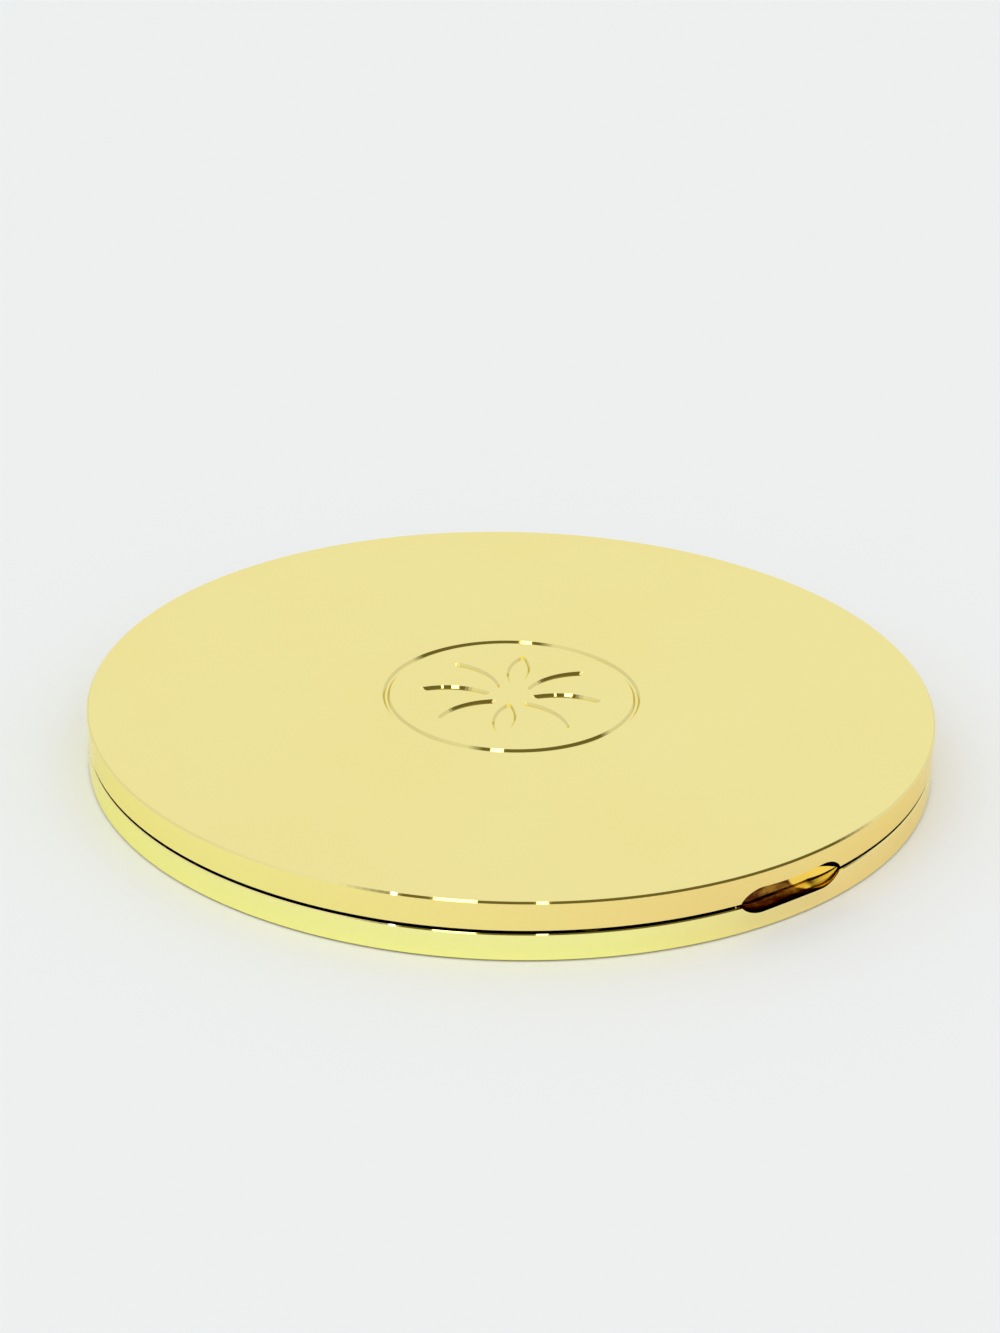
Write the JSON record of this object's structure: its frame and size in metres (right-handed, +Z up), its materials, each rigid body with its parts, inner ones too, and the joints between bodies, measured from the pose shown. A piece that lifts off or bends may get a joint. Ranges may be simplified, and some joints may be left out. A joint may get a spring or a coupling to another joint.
{
  "type": "compact mirror",
  "caption": "Slim round gold-plated compact mirror: a hinged lid with an engraved ring, a thumb scoop across the parting line, and a plain and a magnifying mirror inside.",
  "frame": {"origin": "centre of the base's underside, on the case's axis, where it lies on a table", "axes": "+Z up through the lid, +Y towards the hinge, -Y towards the thumb scoop, +X along the hinge's pin"},
  "size_m": [0.07, 0.07, 0.005],
  "materials": {
    "gold_plate": "mirror-polished pale gold plate over cast brass",
    "bezel_gold": "satin gold plate",
    "plain_mirror": "silvered flat glass",
    "magnifying_mirror": "silvered concave glass",
    "adhesive": "white double-sided foam",
    "magnet_nickel": "nickel-plated magnet",
    "bumper_silicone": "soft black silicone",
    "pin_steel": "drawn steel wire"
  },
  "bodies": {
    "base": {"base_shell": "gold_plate", "base_mirror": "magnifying_mirror", "base_mirror_adhesive": "adhesive", "base_bezel": "bezel_gold", "base_magnet_left": "magnet_nickel", "base_magnet_right": "magnet_nickel", "bumper_left": "bumper_silicone", "bumper_right": "bumper_silicone", "hinge_pin": "pin_steel"},
    "lid": {"lid_shell": "gold_plate", "lid_mirror": "plain_mirror", "lid_mirror_adhesive": "adhesive", "lid_bezel": "bezel_gold", "lid_magnet_left": "magnet_nickel", "lid_magnet_right": "magnet_nickel"}
  },
  "joints": [
    {"name": "lid_hinge", "type": "hinge", "parent": "base", "child": "lid", "pos_m": [0, 0.03395, 0.00243], "axis": [-1, 0, 0], "range_deg": [0, 130]}
  ]
}
